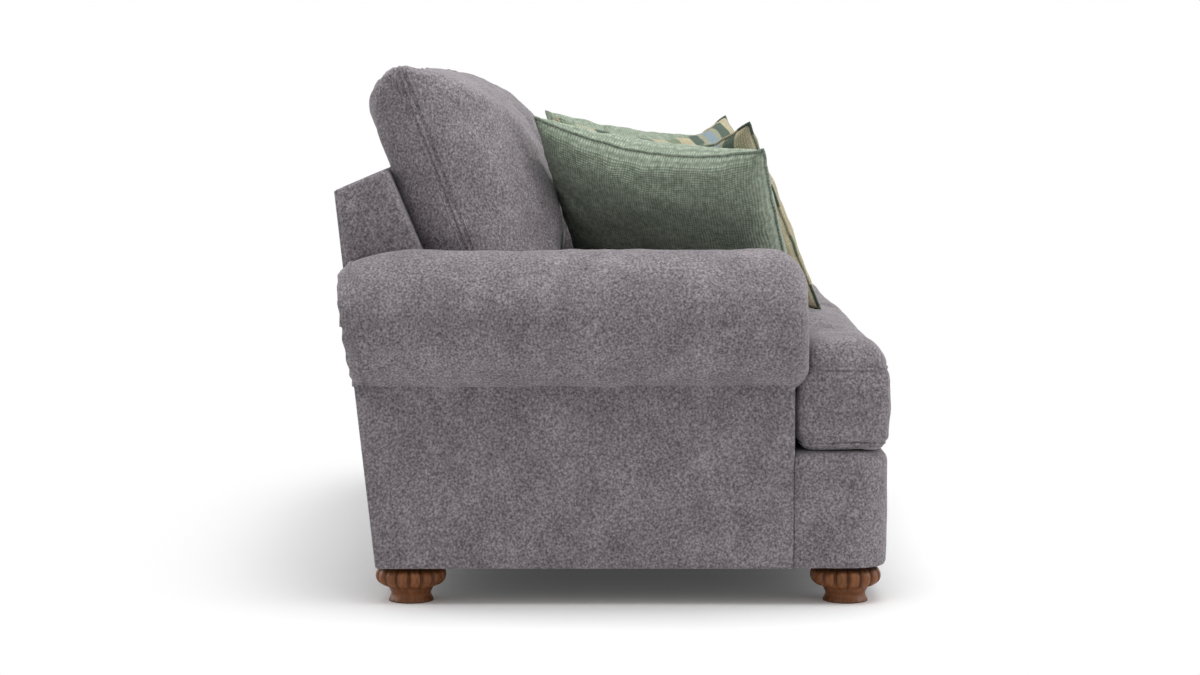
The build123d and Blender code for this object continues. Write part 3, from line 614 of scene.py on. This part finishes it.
def ring_mesh(name, rings):
    """Closed mesh through rings of points, capped at both ends."""
    work = bmesh.new()
    loops = [[work.verts.new(point) for point in ring] for ring in rings]
    count = len(loops[0])
    for first, second in zip(loops, loops[1:]):
        for index in range(count):
            following = (index + 1) % count
            work.faces.new([first[index], first[following], second[following], second[index]])
    for ring in (loops[0], loops[-1]):
        centre = work.verts.new(sum((vert.co for vert in ring), Vector()) / count)
        for index in range(count):
            work.faces.new([ring[index], ring[(index + 1) % count], centre])
    return mesh_from(name, work)


roll_fullness = 0.012
rear_drop = 0.030
pleats = 18


def roll_point(centre, radius, front_y, angle, station, value):
    """Point of the arm roll at an angle about its axis: on its rear end, length, front edge or front."""
    up, out = sin(angle), cos(angle)
    full = radius + roll_fullness * max(up, 0) ** 2
    rounding = 0.052 + 0.018 * up
    rear_y = outside_back(centre.z + radius * up)
    run_front = front_y + rounding
    pleat = 0.5 + 0.5 * cos(pleats * angle)
    if station == "rear":
        reach = full * value * 0.975
        y = rear_y + 0.003 - 0.0025 * pleat * value ** 2
    elif station == "length":
        reach = full
        y = rear_y - 0.014 + (run_front - rear_y + 0.014) * value
    elif station == "edge":
        turn = radians(value)
        reach = full - rounding * (1 - cos(turn))
        y = run_front - rounding * sin(turn)
    else:
        reach = (full - rounding) * value
        y = front_y - 0.005 * (1 - value)
    near_back = max(0.0, 1 - (rear_y - y) / 0.14) if station in ("rear", "length") else 0.0
    drop = rear_drop * near_back ** 2 * max(up, 0)
    return centre + Vector((out * reach, y, up * reach - drop))


def arm_roll(side, sign):
    """Arm roll: a padded tube with a domed front and a pleated rear end flush with the outside back."""
    low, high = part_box(f"{side}_arm_cover")
    radius = (high.x - low.x) / 2
    centre = Vector(((low.x + high.x) / 2, 0, high.z - radius))
    stations = [("rear", share) for share in (0.2, 0.4, 0.6, 0.8, 0.92, 0.985)]
    stations += [("length", share) for share in np.linspace(0.0, 1.0, 60)]
    stations += [("edge", angle) for angle in (10, 20, 30, 40, 50, 60, 70, 80, 90)]
    stations += [("front", share) for share in (0.9, 0.75, 0.55, 0.3)]
    angles = [2 * pi * step / 144 for step in range(144)]
    rings = []
    for station, value in stations:
        rings.append([roll_point(centre, radius, low.y, angle, station, value) for angle in angles])
    mesh = ring_mesh(f"{side}_arm_roll", rings)
    rumple(mesh, 0.0035, 0.14, sign + 11)
    rumple(mesh, 0.0012, 0.04, sign + 12)
    dressed_piece(f"{side}_arm_roll", mesh, "upholstery_suede", "frame",
                  (f"{side}_arm_cover", f"{side}_arm_padding"))
    edge = [roll_point(centre, radius + 0.0005, low.y, angle, "length", 0.004) for angle in angles]
    thread_line(f"{side}_arm_rear_seam", edge, 0.0026, "frame", "upholstery_suede")


def padded_slab(name, outline, x_range, rounding, segments=4):
    """Padded block with one (y, z) outline between two x planes and rounded edges."""
    work = bmesh.new()
    near = [work.verts.new((x_range[0], y, z)) for y, z in outline]
    far = [work.verts.new((x_range[1], y, z)) for y, z in outline]
    work.faces.new(near)
    work.faces.new(far)
    for index in range(len(outline)):
        following = (index + 1) % len(outline)
        work.faces.new([near[following], near[index], far[index], far[following]])
    block = mesh_from(name, work)
    return worked_mesh(block, "BEVEL", width=rounding, segments=segments, limit_method="ANGLE")


def arm_below_roll(side, sign):
    """Upright that carries the roll, and the flat panel on the outside of the arm."""
    low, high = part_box(f"{side}_arm_cover")
    panel_low, panel_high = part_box(f"{side}_side_panel")
    inner_x = low.x if sign > 0 else high.x
    outer_x = panel_low.x if sign > 0 else panel_high.x
    roll_z = high.z - (high.x - low.x) / 2
    upright = [(panel_low.y, low.z), (outside_back(low.z) - 0.01, low.z),
               (outside_back(roll_z) - 0.02, roll_z), (panel_low.y, roll_z)]
    mesh = padded_slab(f"{side}_arm_upright", upright, sorted((inner_x, outer_x)), 0.012)
    dressed_piece(f"{side}_arm_upright", mesh, "upholstery_suede", "frame", ())
    top = panel_high.z + 0.012
    panel = [(panel_low.y, panel_low.z), (outside_back(panel_low.z) - 0.001, panel_low.z),
             (outside_back(top) - 0.001, top), (panel_low.y, top)]
    mesh = padded_slab(f"{side}_side_cover", panel, (panel_low.x, panel_high.x), 0.005)
    dressed_piece(f"{side}_side_cover", mesh, "upholstery_suede", "frame", (f"{side}_side_panel",))


for side, sign in sides.items():
    arm_roll(side, sign)
    arm_below_roll(side, sign)


# Front rail: cover bent round the corners and over the top edge
def front_rail():
    """Padded front rail with rounded corners in plan and a rounded top edge."""
    low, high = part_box("front_rail_cover")
    corner = 0.065
    rounding = 0.022
    plan = []
    for step in range(7):
        plan.append((low.x, high.y + (low.y + corner - high.y) * step / 6, Vector((-1, 0))))
    for step in range(1, 13):
        angle = radians(180 + 90 * step / 12)
        out = Vector((cos(angle), sin(angle)))
        plan.append((low.x + corner + corner * out.x, low.y + corner + corner * out.y, out))
    for step in range(1, 60):
        plan.append((low.x + corner + (high.x - low.x - 2 * corner) * step / 60, low.y, Vector((0, -1))))
    plan += [(-x, y, Vector((-out.x, out.y))) for x, y, out in reversed(plan[:19])]
    hem = 0.008
    straight = high.z - rounding - low.z - hem
    profile = [(0.012, low.z), (0.002, low.z + 0.002), (0.0, low.z + hem)]
    profile += [(0.0, low.z + hem + straight * step / 12) for step in range(1, 13)]
    for angle in (15, 30, 45, 60, 75, 90):
        turn = radians(angle)
        profile.append((rounding * (1 - cos(turn)), high.z - rounding + rounding * sin(turn)))
    work = bmesh.new()
    rows = []
    for inset, z in profile:
        rows.append([work.verts.new((x - out.x * inset, y - out.y * inset, z)) for x, y, out in plan])
    count = len(plan)
    for below, above in zip(rows, rows[1:]):
        for index in range(count - 1):
            work.faces.new([below[index], below[index + 1], above[index + 1], above[index]])
    for row in (rows[0], rows[-1]):
        for index in range(count // 2 - 1):
            work.faces.new([row[index], row[index + 1], row[count - 2 - index], row[count - 1 - index]])
    work.faces.new([row[0] for row in rows] + [row[-1] for row in reversed(rows)])
    mesh = mesh_from("front_rail", work)
    rumple(mesh, 0.0018, 0.15, 21)
    dressed_piece("front_rail", mesh, "upholstery_suede", "frame",
                  ("front_rail_cover", "front_rail_padding"))


# Feet: turned buns with carved lobes on a plain turned base
foot_lobes = 16
lobe_depth = 0.0085


def foot_radius(share, top_radius, base_radius):
    """Radius of a foot's turning at a share of its height, without its lobes."""
    neck = 0.40
    if share < neck:
        return base_radius + 0.0025 * cos(share / neck * 2 * pi)
    middle = (share - neck) / (1 - neck) * 2 - 1
    return base_radius - 0.002 + (top_radius - base_radius + 0.002) * max(0.0, 1 - abs(middle) ** 2.4) ** 0.55


def bun_foot(node):
    """Bun foot: a melon of carved lobes above a short base."""
    low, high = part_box(node)
    centre = (low + high) / 2
    height = high.z - low.z
    top_radius = (high.x - low.x) / 2
    base_radius = top_radius * 0.60
    rings = []
    for step in range(49):
        share = step / 48
        z = low.z + height * share
        radius = foot_radius(share, top_radius, base_radius)
        carved = max(0.0, (radius - base_radius) / (top_radius - base_radius))
        ring = []
        for turn in range(foot_lobes * 12):
            angle = 2 * pi * turn / (foot_lobes * 12)
            groove = (1 - abs(sin(foot_lobes * angle / 2))) ** 2.2
            reach = radius - lobe_depth * groove * min(1.0, carved * 1.6)
            ring.append(Vector((centre.x + reach * cos(angle), centre.y + reach * sin(angle), z)))
        rings.append(ring)
    dressed_piece(f"{node}_turning", ring_mesh(node, rings), "stained_wood", "frame", (node,))


for end in ("front", "rear"):
    for side in sides:
        bun_foot(f"{end}_{side}_foot")


# Back: padded top and ends, the inside face and the flat outside panel
back_thinning = 0.014
dart_height = 0.712
dart_length = 0.048
dart_rise = 0.006


def padded_back():
    """Back above the arms and its inside face between them, with a dart at each upper rear corner."""
    low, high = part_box("back_cover")
    panel_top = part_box("outside_back_panel")[1].z
    arm_low, arm_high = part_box("right_arm_cover")
    lean = tan(inside_back_lean)
    half = high.x

    def inside_back(z):
        return low.y + (z - low.z) * lean

    bottom = arm_high.z - 0.1
    upper = [(inside_back(bottom), bottom), (outside_back(bottom) - 0.002, bottom),
             (outside_back(panel_top) - 0.002, panel_top), (inside_back(high.z) + back_thinning, high.z)]
    mesh = padded_slab("back_top", upper, (-half, half), 0.013, 6)
    dressed_piece("back_top", mesh, "upholstery_suede", "frame", ("back_cover", "back_padding"))
    top = high.z - 0.06
    inside = [(low.y, low.z), (outside_back(low.z) - 0.02, low.z),
              (outside_back(top) - 0.02, top), (inside_back(top), top)]
    mesh = padded_slab("inside_back", inside, (-arm_low.x, arm_low.x), 0.012)
    dressed_piece("inside_back", mesh, "upholstery_suede", "frame", ())
    for side, sign in sides.items():
        rear = outside_back(dart_height)
        dart = [(sign * (half + 0.0005), rear - dart_length * step / 12, dart_height + dart_rise * step / 12)
                for step in range(13)]
        thread_line(f"{side}_back_dart", dart, 0.0016, "frame", "upholstery_suede", False)


def outside_back_cover():
    """Outside back: a flat panel stretched over the frame, wider below the arm rolls, with a seam along the
    top and sides of its upper part.
    """
    low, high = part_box("outside_back_panel")
    arm_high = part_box("right_arm_cover")[1]
    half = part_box("back_cover")[1].x - 0.009
    step_z = arm_high.z - 0.06
    outline = [(low.x, low.z), (high.x, low.z), (high.x, step_z), (half, step_z),
               (half, high.z), (-half, high.z), (-half, step_z), (low.x, step_z)]
    work = bmesh.new()
    front = [work.verts.new((x, outside_back(z) - panel_thickness, z)) for x, z in outline]
    rear = [work.verts.new((x, outside_back(z), z)) for x, z in outline]
    work.faces.new(front)
    work.faces.new(rear)
    for index in range(len(outline)):
        following = (index + 1) % len(outline)
        work.faces.new([front[following], front[index], rear[index], rear[following]])
    panel = mesh_from("outside_back", work)
    mesh = worked_mesh(panel, "BEVEL", width=0.003, segments=3, limit_method="ANGLE")
    dressed_piece("outside_back", mesh, "upholstery_suede", "frame", ("outside_back_panel",))
    inset = 0.004
    seam = [(-half + inset, step_z), (-half + inset, high.z - inset),
            (half - inset, high.z - inset), (half - inset, step_z)]
    points = [(x, outside_back(z), z) for x, z in seam]
    thread_line("outside_back_top_seam", points, 0.0028, "frame", "upholstery_suede", False)


front_rail()
padded_back()
outside_back_cover()


# Stage, light and camera
def pale_floor():
    """Pale floor that keeps the shadow near the seat and fades to white further out."""
    mesh = bpy.data.meshes.new("floor")
    reach = 12.0
    corners = [(-reach, -reach, 0), (reach, -reach, 0), (reach, reach, 0), (-reach, reach, 0)]
    mesh.from_pydata(corners, [], [(0, 1, 2, 3)])
    floor = bpy.data.objects.new("floor", mesh)
    scene.collection.objects.link(floor)
    material = bpy.data.materials.new("pale_floor")
    material.use_nodes = True
    tree = material.node_tree
    tree.nodes.clear()
    matt = add(tree, "ShaderNodeBsdfDiffuse", {"Color": (0.9, 0.9, 0.9, 1.0)})
    white = add(tree, "ShaderNodeEmission", {"Strength": 1.0})
    path = add(tree, "ShaderNodeLightPath")
    seen = add(tree, "ShaderNodeMath", {0: path.outputs["Is Camera Ray"], 1: path.outputs["Is Glossy Ray"]},
               operation="MAXIMUM")
    place = add(tree, "ShaderNodeNewGeometry")
    share = add(tree, "ShaderNodeVectorMath", {0: place.outputs["Position"], 1: (1 / 0.98, 1 / 0.62, 1)},
                operation="MULTIPLY")
    away = add(tree, "ShaderNodeVectorMath", {0: share.outputs[0]}, operation="LENGTH")
    fade = add(tree, "ShaderNodeMapRange", {0: away.outputs["Value"], 1: 1.0, 2: 1.75, 3: 0.05, 4: 1.0},
               interpolation_type="SMOOTHSTEP")
    amount = add(tree, "ShaderNodeMath", {0: fade.outputs[0], 1: seen.outputs[0]}, operation="MULTIPLY")
    mixed = add(tree, "ShaderNodeMixShader", {0: amount.outputs[0], 1: matt.outputs[0], 2: white.outputs[0]})
    add(tree, "ShaderNodeOutputMaterial", {"Surface": mixed.outputs[0]})
    mesh.materials.append(material)


def studio_world():
    """Even white surroundings: pure white to the camera, softer as light."""
    world = bpy.data.worlds.new("studio")
    scene.world = world
    world.use_nodes = True
    tree = world.node_tree
    tree.nodes.clear()
    path = add(tree, "ShaderNodeLightPath")
    seen = add(tree, "ShaderNodeMath", {0: path.outputs["Is Camera Ray"], 1: path.outputs["Is Glossy Ray"]},
               operation="MAXIMUM")
    soft = add(tree, "ShaderNodeBackground", {"Color": (1, 1, 1, 1), "Strength": 0.56})
    white = add(tree, "ShaderNodeBackground", {"Color": (1, 1, 1, 1), "Strength": 1.0})
    mixed = add(tree, "ShaderNodeMixShader", {0: seen.outputs[0], 1: soft.outputs[0], 2: white.outputs[0]})
    add(tree, "ShaderNodeOutputWorld", {"Surface": mixed.outputs[0]})


def softbox(name, place, target, size, power):
    """Square area lamp that faces a point."""
    lamp = bpy.data.lights.new(name, "AREA")
    lamp.size = size
    lamp.energy = power
    box = bpy.data.objects.new(name, lamp)
    box.location = place
    box.rotation_euler = (Vector(target) - Vector(place)).to_track_quat("-Z", "Y").to_euler()
    scene.collection.objects.link(box)


pale_floor()
studio_world()
softbox("top_softbox", (-0.6, -0.3, 3.6), (0, 0, 0.4), 3.0, 105)
softbox("front_softbox", (-0.8, -4.4, 2.2), (0, 0, 0.5), 2.6, 62)
softbox("rear_softbox", (0.8, 4.4, 2.2), (0, 0, 0.5), 2.6, 62)

camera_pitch = radians(5.4)
sensor_width = 36.0
focal_length_pixels = 2690
picture_width_pixels = 1200
camera = bpy.data.objects.new("camera", bpy.data.cameras.new("camera"))
camera.data.sensor_width = sensor_width
camera.data.lens = focal_length_pixels / picture_width_pixels * sensor_width
camera.location = (-5.62, 0.023, 0.95)
camera.rotation_euler = (pi / 2 - camera_pitch, 0, -pi / 2)
scene.collection.objects.link(camera)
scene.camera = camera
scene.view_settings.view_transform = "Standard"
